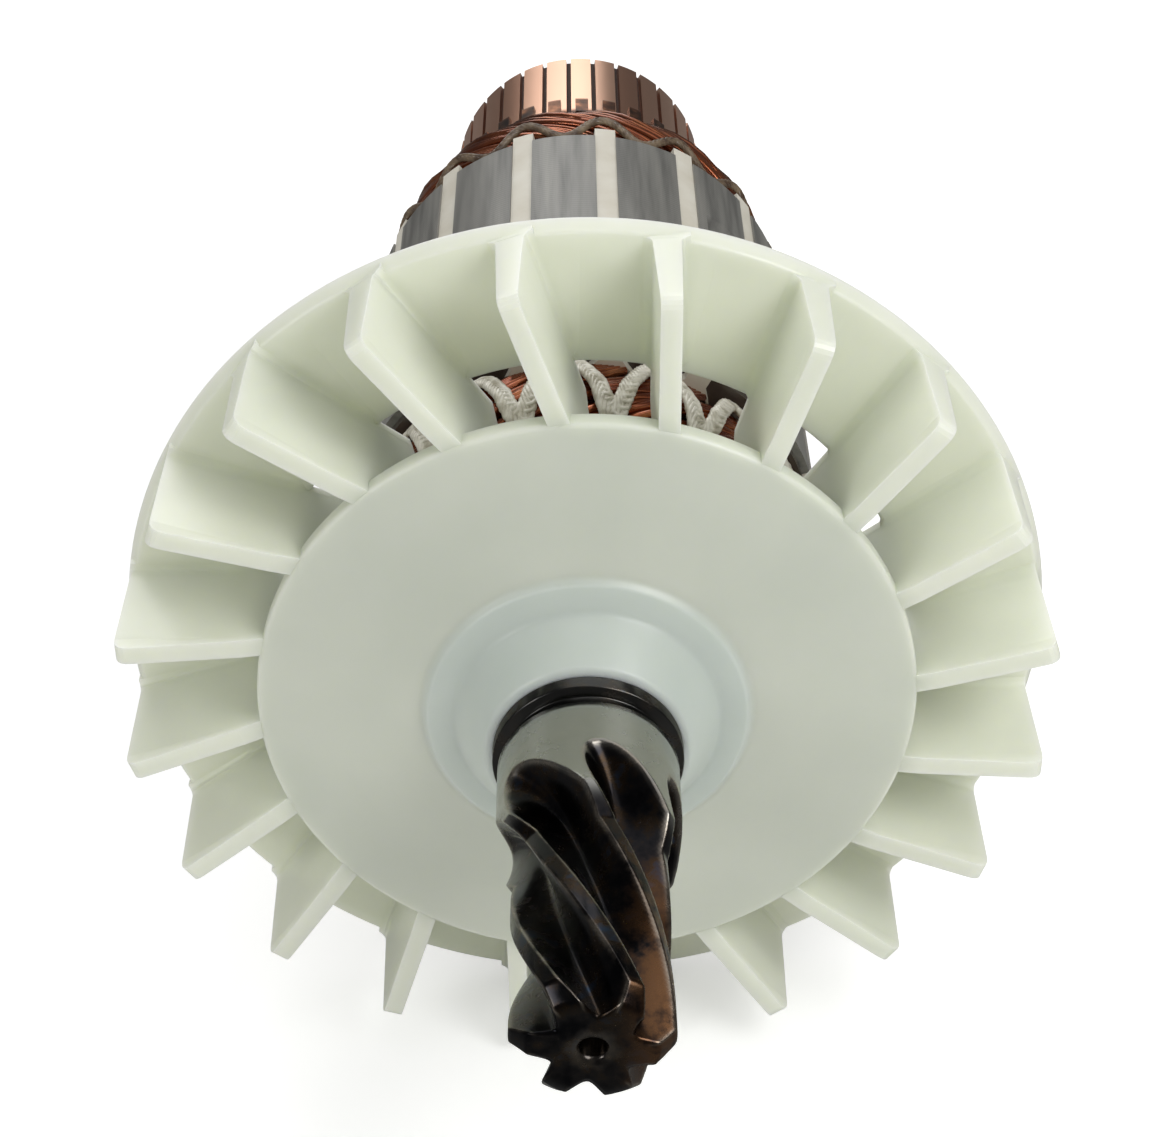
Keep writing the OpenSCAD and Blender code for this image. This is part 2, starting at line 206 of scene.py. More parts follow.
def off_axis_mm(tree):
    """Distance from the shaft's axis in mm."""
    point = object_point(tree, 1 / MM, (1, 0, 1))
    return add(tree, "ShaderNodeVectorMath", {0: point}, operation="LENGTH").outputs["Value"]


def between(tree, value, low, high):
    """0 below low, 1 above high, smooth between them."""
    return add(
        tree, "ShaderNodeMapRange",
        {"Value": value, "From Min": low, "From Max": high, "To Min": 0.0, "To Max": 1.0},
        interpolation_type="SMOOTHSTEP",
    ).outputs[0]


def product(tree, a, b):
    """Product of two values."""
    return add(tree, "ShaderNodeMath", {0: a, 1: b}, operation="MULTIPLY").outputs[0]


def bump(tree, shader, height, strength, depth_mm):
    """Feeds a height into the shader's normal."""
    relief = add(
        tree, "ShaderNodeBump",
        {"Height": height, "Strength": strength, "Distance": depth_mm * MM},
    )
    tree.links.new(relief.outputs[0], shader.inputs["Normal"])


print("helpers ready")

# %% [markdown]
# ## Finishes
#
# Each material starts from what the real one is and how its surface was made.

# %% Moulded nylon of the fan


def moulded_nylon():
    """Natural polyamide 6, injection moulded: light soaks in and leaves as a milky glow."""
    material, tree, shader = new_material(
        "moulded_nylon", Roughness=0.34, IOR=1.53, Subsurface_Weight=0.9,
        Subsurface_Radius=(1.0, 1.0, 0.85), Subsurface_Scale=2.4 * MM,
    )
    away = off_axis_mm(tree)
    # The colour by radius is painted light: a painted bluish shade on the boss, a greyer painted shade on the
    # dish, and a painted glow on the lighter ring and blades, where light shines through the thin nylon.
    painted_boss_and_dish_shade = blend(tree, between(tree, away, 15.2, 16.4), srgb("B4C2BF"), srgb("CACFC2"))
    painted_light_by_radius = blend(tree, between(tree, away, 30.5, 34.0), painted_boss_and_dish_shade, srgb("ECEFDF"))
    cloud = noise(tree, object_point(tree, 60), detail=4)
    shade = blend(tree, 0.5, painted_light_by_radius, ramp(tree, cloud, (0.3, srgb("D0D4C8")), (0.7, srgb("E0E2D6"))))
    tree.links.new(shade, shader.inputs["Base Color"])
    fine = noise(tree, object_point(tree, 2500), detail=2)
    bump(tree, shader, fine, 0.08, 0.05)
    return material


nylon = moulded_nylon()
print(nylon.name)

# %% [markdown]
# Hardened steel comes from the oven with a dark oxide skin. Grinding takes it off the journals,
# and the mating gear polishes the crests of the teeth. The shaft's mesh will carry two
# attributes, `blackened` and `worn`, and the material mixes its colours by them.

# %% Steel of the shaft


def attribute(tree, name):
    """A float attribute of the mesh."""
    return add(tree, "ShaderNodeAttribute", attribute_name=name).outputs["Fac"]


def shaft_steel():
    """Case-hardened steel: ground bright on the journals, oxide black and oily in the flutes."""
    material, tree, shader = new_material("shaft_steel", Metallic=1.0)
    blotch = noise(tree, object_point(tree, 1000), 0.32, detail=5, roughness=0.62)
    oxide = ramp(
        tree, blotch,
        (0.34, srgb("17181B")), (0.48, srgb("252426")), (0.58, srgb("33291F")), (0.70, srgb("2A3646")),
    )
    # The teeth are browner on one side, towards the pinion's end.
    browned = product(
        tree, between(tree, place_mm(tree, "X"), 1.5, 6.0), between(tree, place_mm(tree, "Y"), -13.0, -24.0),
    )
    patchy = product(tree, browned, between(tree, blotch, 0.36, 0.56))
    oxide = blend(tree, patchy, oxide, srgb("6E4F37"))
    turned = blend(tree, attribute(tree, "blackened"), srgb("A3A39E"), oxide)
    rubbed = product(tree, attribute(tree, "worn"), between(tree, blotch, 0.30, 0.62))
    tree.links.new(blend(tree, rubbed, turned, srgb("A1988C")), shader.inputs["Base Color"])
    sheen = add(
        tree, "ShaderNodeMapRange",
        {"Value": blotch, "From Min": 0.35, "From Max": 0.7, "To Min": 0.15, "To Max": 0.34},
    )
    tree.links.new(sheen.outputs[0], shader.inputs["Roughness"])
    grind = noise(tree, object_point(tree, 1000, (0.6, 8, 0.6)), 1.0, detail=3)
    bump(tree, shader, grind, 0.06, 0.02)
    return material


steel = shaft_steel()
print(steel.name)

# %% [markdown]
# The stack is punched from thin sheet, so its outside shows hundreds of fine edges under a
# coat of varnish. The copper bars are turned in place, which leaves fine rings round the
# track, and each bar takes its own tint from the heat of the welding and of the brushes.

# %% Core, commutator and their insulation


def wheel_angle(tree):
    """Angle round the shaft, from 0 to 1, worked out from object coordinates."""
    place = add(tree, "ShaderNodeTexCoord")
    parts = add(tree, "ShaderNodeSeparateXYZ", {"Vector": place.outputs["Object"]})
    turn = add(tree, "ShaderNodeMath", {0: parts.outputs["X"], 1: parts.outputs["Z"]}, operation="ARCTAN2")
    share = add(tree, "ShaderNodeMath", {0: turn.outputs[0], 1: 1 / math.tau}, operation="MULTIPLY")
    return add(tree, "ShaderNodeMath", {0: share.outputs[0], 1: 1.0}, operation="ADD").outputs[0]


def bar_number(tree, bars, first):
    """Whole number that is the same all over one bar."""
    turn = wheel_angle(tree)
    scaled = add(tree, "ShaderNodeMath", {0: turn, 1: bars, 2: -first * bars / 360}, operation="MULTIPLY_ADD")
    return add(tree, "ShaderNodeMath", {0: scaled.outputs[0]}, operation="FLOOR").outputs[0]


def laminated_steel():
    """Electrical sheet, stacked and dipped in varnish."""
    material, tree, shader = new_material(
        "laminated_steel", Metallic=0.2, Roughness=0.45, Coat_Weight=0.15, Coat_Roughness=0.35,
    )
    patch = noise(tree, object_point(tree, 1000, (1, 0.06, 1)), 0.7, detail=5)
    colour = ramp(tree, patch, (0.32, srgb("64635F")), (0.5, srgb("7C7B76")), (0.68, srgb("8B8983")))
    tree.links.new(colour, shader.inputs["Base Color"])
    sheets = add(
        tree, "ShaderNodeTexWave", {"Vector": object_point(tree, 1000), "Scale": 0.63, "Distortion": 0.0},
        bands_direction="Y",
    )
    bump(tree, shader, sheets.outputs["Fac"], 0.35, 0.03)
    return material


def turned_copper(bars, first, track_y):
    """Silver-bearing copper bars, turned together, their hooks brown with baked varnish."""
    material, tree, shader = new_material("turned_copper", Metallic=1.0, Roughness=0.3)
    number = bar_number(tree, bars, first)
    tint = add(tree, "ShaderNodeTexWhiteNoise", {"W": number}, noise_dimensions="1D").outputs["Value"]
    colour = ramp(
        tree, tint,
        (0.0, srgb("BE8E75")), (0.3, srgb("E6B295")), (0.6, srgb("F0C2A6")), (1.0, srgb("D29F86")),
    )
    on_hooks = between(tree, place_mm(tree, "Y"), track_y / MM, track_y / MM - 1.2)
    stain = ramp(
        tree, noise(tree, object_point(tree, 1000), 0.5, detail=4),
        (0.35, srgb("2A1B12")), (0.55, srgb("6B452E")), (0.68, srgb("A8714F")),
    )
    tree.links.new(blend(tree, on_hooks, colour, stain), shader.inputs["Base Color"])
    rings = noise(tree, object_point(tree, 1000, (0.05, 12, 0.05)), 1.0, detail=2)
    bump(tree, shader, rings, 0.2, 0.02)
    return material


def plain(name, low, high, roughness, grain_mm=0.4, relief=0.15, depth=0.03, **values):
    """A dull material with a mottled colour and a fine grain."""
    material, tree, shader = new_material(name, Roughness=roughness, **values)
    patch = noise(tree, object_point(tree, 1000), 0.25, detail=4)
    tree.links.new(ramp(tree, patch, (0.3, srgb(low)), (0.7, srgb(high))), shader.inputs["Base Color"])
    bump(tree, shader, noise(tree, object_point(tree, 1000), 1 / grain_mm, detail=2), relief, depth)
    return material


SLOTS = 16
BARS = 2 * SLOTS
SLOT_ANGLE = 7.3
TRACK_FRONT = SHROUD_Y + 92.2 * MM

core_steel = laminated_steel()
copper = turned_copper(BARS, SLOT_ANGLE, TRACK_FRONT)
# Polyester film and pressed paper, soaked in varnish and baked.
paper = plain("insulating_paper", "CFC7B0", "DDD8C8", 0.55)
wedge_strip = plain("pressed_paper_strip", "CEC8B8", "DAD6C9", 0.5)
fibre = plain("pressed_fibre", "382F29", "4A4038", 0.35, Coat_Weight=0.6, Coat_Roughness=0.15)
# Filled resin of the shaft's sleeve, and the dark phenolic that holds the bars.
resin = plain("filled_resin", "C9B98C", "D6C79C", 0.45)
phenolic = plain("phenolic", "321D14", "43281B", 0.7)
# Real baked varnish, made near black as a painted shade for the deep gaps between the wires.
varnish_and_gap_shade = plain("baked_varnish_and_painted_gap_shade", "1C110C", "2B1A12", 0.45)
turned_steel = plain("turned_steel", "8F8D88", "9D9A94", 0.35, Metallic=1.0)
print(core_steel.name, copper.name, paper.name, varnish_and_gap_shade.name)

# %% Braid and enamelled wire


def varnished_braid():
    """Braided polyester cord, stiff with varnish, with a painted shade that darkens the rear cord to brown.
    """
    material, tree, shader = new_material(
        "varnished_braid", Roughness=0.38, Coat_Weight=0.5, Coat_Roughness=0.15,
    )
    patch = noise(tree, object_point(tree, 1000), 0.8, detail=4)
    clean = ramp(tree, patch, (0.35, srgb("B5AF9A")), (0.55, srgb("DDD9C9")), (0.7, srgb("E8E4D6")))
    # Painted shade: the rear cord, which lies in shadow near the commutator, is coloured dark brown.
    rear_painted_shade = ramp(tree, patch, (0.35, srgb("4E3B2B")), (0.7, srgb("8C7A62")))
    rear = between(tree, place_mm(tree, "Y"), 60.0, 80.0)
    tree.links.new(blend(tree, rear, clean, rear_painted_shade), shader.inputs["Base Color"])
    bump(tree, shader, noise(tree, object_point(tree, 1000), 6.0, detail=2), 0.3, 0.03)
    return material


def enamelled_wire():
    """Copper under red-brown enamel: a dull metal body with a glossy skin."""
    material, tree, shader = new_material(
        "enamelled_wire", Metallic=0.8, Roughness=0.2, Coat_Weight=0.4, Coat_Roughness=0.06, Coat_IOR=1.5,
    )
    patch = noise(tree, object_point(tree, 1000), 0.3, detail=3)
    fresh = ramp(tree, patch, (0.3, srgb("713520")), (0.55, srgb("9C5430")), (0.7, srgb("C07A4C")))
    # The leads turn dark brown towards the commutator.
    colour = blend(tree, between(tree, place_mm(tree, "Y"), 92.0, 101.0), fresh, srgb("5A3926"))
    tree.links.new(colour, shader.inputs["Base Color"])
    return material


braid = varnished_braid()
wire = enamelled_wire()
print(braid.name, wire.name)

# %% Give the CAD solids their finishes
SLOT_FINISH = {
    "shaft_steel": steel, "sleeve_resin": resin, "fan_nylon": nylon, "core_steel": core_steel,
    "plate_fibre": fibre, "magnet_wire": wire, "slot_paper": paper, "slot_wedge": wedge_strip,
    "lacing_cord": braid, "hub_resin": phenolic, "bush_steel": turned_steel, "commutator_copper": copper,
}
for part in frame["record"]["subparts"]:
    mesh = frame["nodes"][part["node"]].data
    mesh.materials.clear()
    mesh.materials.append(SLOT_FINISH[part["material_slot"]])
print("finishes:", len(SLOT_FINISH))

# %% [markdown]
# ## Mesh helpers
#
# Most pieces below are stacks of rings: a lathe makes round ones, and the same skin closes the
# helical pinion. A ring is a row of points, so one function can join them all.

# %% Rings to meshes


def new_piece(name, vertices, faces, material, smooth=True):
    """Mesh object at the origin, with its material, on the armature's one body."""
    mesh = bpy.data.meshes.new(name)
    mesh.from_pydata([tuple(v) for v in vertices], [], faces)
    mesh.materials.append(material)
    if smooth:
        mesh.shade_smooth()
    return place_piece(mesh)


def place_piece(mesh):
    """Puts a finished mesh into the scene and on the body."""
    piece = bpy.data.objects.new(mesh.name, mesh)
    bpy.context.collection.objects.link(piece)
    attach(piece, "root")
    return piece


def ring_faces(rows, count, start=0, around=False):
    """Quads between rows of count points. With around, the last row joins the first."""
    faces = []
    for k in range(rows if around else rows - 1):
        a, b = start + k * count, start + (k + 1) % rows * count
        for j in range(count):
            n = (j + 1) % count
            faces.append((a + j, a + n, b + n, b + j))
    return faces


def outward(mesh):
    """Turns every closed shell's normals outward."""
    work = bmesh.new()
    work.from_mesh(mesh)
    bmesh.ops.recalc_face_normals(work, faces=work.faces)
    work.to_mesh(mesh)
    work.free()


def rounded(corners, default=0.0, steps=4):
    """Outline with its corners rounded. A corner is (radius, ahead[, fillet radius]) in mm."""
    out = []
    count = len(corners)
    for k in range(count):
        here = Vector(corners[k][:2])
        fillet = corners[k][2] if len(corners[k]) > 2 else default
        before = Vector(corners[k - 1][:2]) - here
        after = Vector(corners[(k + 1) % count][:2]) - here
        reach = min(fillet, before.length * 0.45, after.length * 0.45)
        if reach < 1e-4:
            out.append(tuple(here))
            continue
        start = here + before.normalized() * reach
        end = here + after.normalized() * reach
        for i in range(steps + 1):
            t = i / steps
            out.append(tuple(start * (1 - t) ** 2 + here * 2 * t * (1 - t) + end * t * t))
    return out


def lathe(outline, steps):
    """Closed outline of (radius, ahead) in mm, turned round the shaft."""
    rings = [
        [spot(r * MM, math.tau * k / steps, z * MM) for r, z in outline]
        for k in range(steps)
    ]
    points = [p for ring in rings for p in ring]
    return points, ring_faces(steps, len(outline), around=True)


print("mesh helpers ready")

# %% [markdown]
# ## Shaft and pinion
#
# The pinion is cut straight into the shaft by a milling cutter that leaves each flute along an
# arc, so the flutes fade out in the journal. At every station the section is the smaller of two
# shapes: the turned blank, and a flute whose floor rises towards the crests of the teeth.
# Turning that section with the distance along the shaft makes the helix.

# %% Model the shaft
TEETH = 6
TIP_R, ROOT_R, JOURNAL_R = 7.0, 3.8, 8.5
LEAD = 90.0
FLUTE_ANGLE, FLUTE_ANGLE_AT = 12.5, 28.1
RUNOUT, SHOULDER, FULL_DEPTH, END = 26.8, 32.6, 37.0, 57.0
FLUTE_RISE = 5.2
EDGE = 0.16
WORN_WIDTH = 0.26

cutter_rise = JOURNAL_R - ROOT_R
cutter_r = ((FULL_DEPTH - RUNOUT) ** 2 + cutter_rise ** 2) / (2 * cutter_rise)


def soft_min(a, b, width):
    """Smaller of two values, with the edge between them rounded."""
    h = np.clip(0.5 + (b - a) / (2 * width), 0, 1)
    return b * (1 - h) + a * h - width * h * (1 - h)


def blank(z):
    """Radius of the turned blank: journal, shoulder, tip diameter and end chamfer."""
    shoulder = max(min(JOURNAL_R - (z - SHOULDER) * 0.5, JOURNAL_R), TIP_R)
    return shoulder - max(0.0, z - (END - 1.6))


def flute_floor(z):
    """Radius of the flute's bottom, which leaves the journal along the cutter's arc."""
    run = max(0.0, FULL_DEPTH - z)
    return ROOT_R + cutter_r - math.sqrt(max(0.0, cutter_r ** 2 - run ** 2))


def pinion_ring(z, angles):
    """Radii, wear and oxide round the shaft at a station."""
    middle = math.radians(FLUTE_ANGLE + (z - FLUTE_ANGLE_AT) * 360 / LEAD)
    pitch = math.tau / TEETH
    share = np.abs((angles - middle + pitch / 2) % pitch - pitch / 2) / (pitch / 2)
    flute = flute_floor(z) + FLUTE_RISE * share ** 2
    top = blank(z)
    radius = soft_min(flute, np.full_like(flute, top), EDGE) - 0.02
    near_edge = np.exp(-((flute - top) / WORN_WIDTH) ** 2)
    in_flute = 1 / (1 + np.exp(-(top - flute - 0.1) / 0.12))
    past_journal = 1 / (1 + math.exp(-(z - SHOULDER - 0.6) / 0.3))
    return radius, near_edge, np.maximum(in_flute, past_journal)


def shaft_stations():
    """(ahead, radius) of the turned part, from the bottom of the rear centre hole forwards."""
    seat, neck, sleeve_seat = 9.0, 7.8, 7.5
    return [
        (-124.0, 1.1), (-127.6, 1.1), (-128.0, 1.5), (-128.0, 4.3), (-127.9, 4.5), (-127.4, 5.0),
        (-117.1, 5.0), (-117.0, 5.1), (-117.0, 6.3), (-116.8, 6.5), (-85.1, 6.5), (-85.0, 6.6),
        (-85.0, 7.4), (-84.9, sleeve_seat), (-6.5, sleeve_seat), (-6.4, 7.6), (-6.4, 8.9), (-6.3, seat),
        (19.65, seat), (19.8, seat - 0.15), (19.8, neck + 0.1), (19.9, neck), (21.2, neck),
        (21.3, neck + 0.1), (21.3, JOURNAL_R - 0.15), (21.45, JOURNAL_R), (22.5, JOURNAL_R),
        (24.0, JOURNAL_R), (25.5, JOURNAL_R), (RUNOUT - 0.5, JOURNAL_R),
    ]


def model_shaft(around=288, step=0.2):
    """One closed skin from the rear centre hole to the front one."""
    angles = np.arange(around) * math.tau / around
    rows = []
    for z, r in shaft_stations():
        dark = 0.85 if 19.4 < z < 21.35 or z < -84 and r < 2 else 0.0
        rows.append((z, np.full(around, r), np.zeros(around), np.full(around, dark)))
    for z in np.arange(RUNOUT - 0.3, END + 1e-6, step):
        rows.append((z, *pinion_ring(float(z), angles)))
    low = rows[-1][1]
    flat = np.ones(around)
    for share in (0.75, 0.5, 0.3):
        rows.append((END + 0.02, 1.5 + (low - 1.5) * share, flat * 0.05, flat))
    for z, r in ((END, 1.45), (END - 0.45, 1.1), (END - 4.0, 1.1)):
        rows.append((z, flat * r, flat * 0.3, flat))
    points = [spot(r * MM, a, z * MM) for z, radii, _, _ in rows for r, a in zip(radii, angles)]
    faces = ring_faces(len(rows), around)
    faces.append(tuple(range(around - 1, -1, -1)))
    faces.append(tuple(range((len(rows) - 1) * around, len(rows) * around)))
    piece = new_piece("shaft_and_pinion", points, faces, steel)
    for name, column in (("worn", 2), ("blackened", 3)):
        values = np.concatenate([row[column] for row in rows]).astype(np.float32)
        piece.data.attributes.new(name, "FLOAT", "POINT").data.foreach_set("value", values)
    outward(piece.data)
    return piece


shaft = model_shaft()
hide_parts("shaft")
print("shaft faces", len(shaft.data.polygons))

# %% [markdown]
# ## Fan
#
# The fan is one moulding: a hub and a dish that face the pinion, a flat ring behind the blades,
# and twenty straight blades that miss the shaft's axis by a few millimetres. A moulding has no
# sharp corners, so the lathe outlines and the blades get their roundings here, and the blades
# flare where they grow out of the ring. A union turns the blades, the dish and the ring into
# one skin, because light that soaks in would show a dark seam where two skins cross.

# %% Model the fan
BLADES = 20
BLADE_ANGLE = 10.0
BLADE_OFFSET = 7.6
BLADE_HEIGHT = 12.2
BLADE_TIP, BLADE_ROOT = 1.9, 2.7
BLADE_INNER = 24.0
DISH_R = 31.8
DISH = 11.3
fan_r = FAN_R / MM
tip_r = BLADE_TIP_R / MM
shroud_t = SHROUD_THICK / MM
LATHE_STEPS = 200

dish_outline = rounded([
    (9.0, -1.6, 0.2), (13.4, -1.6, 0.4), (13.4, DISH - 2.6, 0.8), (17.4, DISH - 2.0),
    (DISH_R, DISH - 2.0, 0.3), (DISH_R, DISH, 0.5), (16.0, DISH + 0.9, 1.0), (15.4, DISH + 1.6, 0.25),
    (12.8, DISH + 2.2, 0.5), (12.0, DISH + 3.4, 0.3), (9.8, 18.1, 0.25), (9.0, 18.4, 0.1),
])
shroud_outline = rounded([(DISH_R, -shroud_t), (fan_r, -shroud_t), (tip_r, 0), (DISH_R, 0)], default=0.3)


def blade_side():
    """Outline of a blade seen from its side, as (radius, ahead) in mm, from the root up."""
    return rounded([
        (BLADE_INNER + 4, -0.8), (tip_r + 0.15, -0.8), (tip_r + 0.3, BLADE_HEIGHT + 0.3, 1.5),
        (DISH_R + 2, DISH + 0.2), (DISH_R - 1.5, DISH - 0.35), (BLADE_INNER, DISH - 1.0, 0.4),
    ], steps=5)


def blade_thickness(r, z):
    """Thickness at a height over the ring, with a flare at the root for the mould's fillet."""
    height = max(0.0, z)
    straight = BLADE_ROOT + (BLADE_TIP - BLADE_ROOT) * height / BLADE_HEIGHT
    over_ring = min(1.0, max(0.0, (r - DISH_R) / 0.8))
    return straight + 1.6 * over_ring * max(0.0, 1 - height / 1.1) ** 2.5


def model_blade():
    """One blade as a bmesh, its edges bevelled, in (along, across, ahead) mm."""
    work = bmesh.new()
    side = blade_side()
    levels = sorted({z for _, z in side} | {0.0, 0.25, 0.5, 0.8, 1.2, 4.0, 8.0})
    work.faces.new([work.verts.new((r, 0, z)) for r, z in side])
    cuts = [((0, 0, z), (0, 0, 1)) for z in levels]
    cuts += [((r, 0, 0), (1, 0, 0)) for r in (DISH_R, DISH_R + 0.8)]
    for place, normal in cuts:
        geometry = list(work.verts) + list(work.edges) + list(work.faces)
        bmesh.ops.bisect_plane(work, geom=geometry, plane_co=place, plane_no=normal)
    front = list(work.faces)
    copy = bmesh.ops.duplicate(work, geom=front)
    back = [f for f in copy["geom"] if isinstance(f, bmesh.types.BMFace)]
    for face in back:
        face.normal_flip()
    for v in {v for f in back for v in f.verts}:
        v.co.y = blade_thickness(v.co.x, v.co.z) / 2
    for v in {v for f in front for v in f.verts}:
        v.co.y = -blade_thickness(v.co.x, v.co.z) / 2
    rims = [[e for e in {e for f in group for e in f.edges} if e.is_boundary] for group in (front, back)]
    walls = bmesh.ops.bridge_loops(work, edges=rims[0] + rims[1])["faces"]
    rim = [
        e for e in {e for f in walls for e in f.edges}
        if e.calc_face_angle(0) > math.radians(50) and e.verts[0].co.z > 0.3
    ]
    bmesh.ops.bevel(
        work, geom=rim, offset=0.38, offset_type="OFFSET", segments=3, profile=0.5,
        affect="EDGES", clamp_overlap=True,
    )
    bmesh.ops.recalc_face_normals(work, faces=work.faces)
    return work


def joined(first, second):
    """Union of two meshes that cross, as one closed skin."""
    keep = bpy.data.objects.new("keep", first)
    tool = bpy.data.objects.new("tool", second)
    for piece in (keep, tool):
        bpy.context.collection.objects.link(piece)
    cut = keep.modifiers.new("union", "BOOLEAN")
    cut.operation = "UNION"
    cut.solver = "MANIFOLD"
    cut.object = tool
    bpy.context.view_layer.update()
    ready = keep.evaluated_get(bpy.context.evaluated_depsgraph_get())
    result = bpy.data.meshes.new_from_object(ready)
    for piece in (keep, tool):
        bpy.data.objects.remove(piece)
    return result


def model_fan():
    """Blades joined to the dish and the ring."""
    blades, round_parts = bmesh.new(), bmesh.new()
    blade = model_blade()
    blade_mesh = bpy.data.meshes.new("blade")
    blade.to_mesh(blade_mesh)
    blade.free()
    tip_turn = math.asin(BLADE_OFFSET / tip_r)
    for k in range(BLADES):
        first = len(blades.verts)
        blades.from_mesh(blade_mesh)
        blades.verts.ensure_lookup_table()
        turn = math.radians(BLADE_ANGLE + k * 360 / BLADES) - tip_turn
        for v in blades.verts[first:]:
            along, across, z = v.co
            along = math.sqrt(along ** 2 - BLADE_OFFSET ** 2)
            across += BLADE_OFFSET
            v.co = spot(math.hypot(along, across) * MM, turn + math.atan2(across, along), z * MM)
    bpy.data.meshes.remove(blade_mesh)
    for outline in (dish_outline, shroud_outline):
        points, faces = lathe(outline, LATHE_STEPS)
        verts = [round_parts.verts.new(p) for p in points]
        for face in faces:
            round_parts.faces.new([verts[i] for i in face])
    meshes = []
    for work in (round_parts, blades):
        if work.calc_volume(signed=True) < 0:
            bmesh.ops.reverse_faces(work, faces=work.faces)
        meshes.append(bpy.data.meshes.new("fan_moulding"))
        work.to_mesh(meshes[-1])
        work.free()
    mesh = joined(*meshes)
    mesh.name = "fan_moulding"
    mesh.materials.clear()
    mesh.materials.append(nylon)
    mesh.shade_smooth()
    mesh.set_sharp_from_angle(angle=math.radians(38))
    return place_piece(mesh)


fan = model_fan()
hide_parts("fan")
print("fan faces", len(fan.data.polygons))

# %% [markdown]
# ## Winding
#
# Each coil is a bundle of enamelled wire that leaves one slot, crosses the end of the core
# along an arch and enters another slot seven places on. All sixteen coils follow the same path,
# turned by one slot each time, so they nest side by side. The CAD model has the bundles as
# plain solids. Here every bundle is drawn as its single wires, round a dark filler that closes
# the gaps between them. The outer wires swell a little past the CAD bundle near the core.

# %% Path of an end turn
SPAN = 7
PITCH = math.tau / SLOTS
ARCH_CENTRE, ARCH_BEND, ARCH_LEG = 17.0, 3.4, 6.5
HALF_DEPTH = 2.1
FILL = 0.86
SWELL, SWELL_LENGTH = 1.2, 14
EASE = 14
TURN_LENGTH = 2 * ARCH_LEG + math.pi * ARCH_BEND
SLOT_ENDS = (core_front / MM + 2.4, core_rear / MM - 2.4)


def turn_point(s, n):
    """(radius, height over the slots' ends) after s mm, n mm outside the arch's middle line."""
    if n > 0:
        along = max(0.0, math.sin(math.pi * min(1.0, s / SWELL_LENGTH)))
        n += SWELL * min(1.0, n / HALF_DEPTH) * along
    if s < ARCH_LEG:
        return ARCH_CENTRE + ARCH_BEND + n, s
    if s > TURN_LENGTH - ARCH_LEG:
        return ARCH_CENTRE - ARCH_BEND - n, TURN_LENGTH - s
    bend = (s - ARCH_LEG) / ARCH_BEND
    return ARCH_CENTRE + (ARCH_BEND + n) * math.cos(bend), ARCH_LEG + (ARCH_BEND + n) * math.sin(bend)


def turn_angle(s):
    """How far a coil has gone round the shaft after s mm, measured against the clock."""
    share = s / TURN_LENGTH
    return SPAN * PITCH * (share - math.sin(math.tau * share) / EASE)


def on_coil(s, n, aside, end):
    """Point on the first coil: s along it, n outwards, aside as an angle, end 0 front, 1 rear."""
    r, height = turn_point(s, n)
    ahead = SLOT_ENDS[end] + (height if end == 0 else -height)
    return spot(r * MM, math.radians(SLOT_ANGLE) - turn_angle(s) - aside, ahead * MM)


def line_mesh(name, lines):
    """Mesh of edges only, one open or closed chain of points for each line."""
    mesh = bpy.data.meshes.new(name)
    points, edges = [], []
    for line in lines:
        closed = (line[0] - line[-1]).length < 1e-7
        chain = line[:-1] if closed else line
        first = len(points)
        points += chain
        edges += [(first + i, first + i + 1) for i in range(len(chain) - 1)]
        if closed:
            edges.append((first + len(chain) - 1, first))
    mesh.from_pydata([tuple(p) for p in points], edges, [])
    return mesh


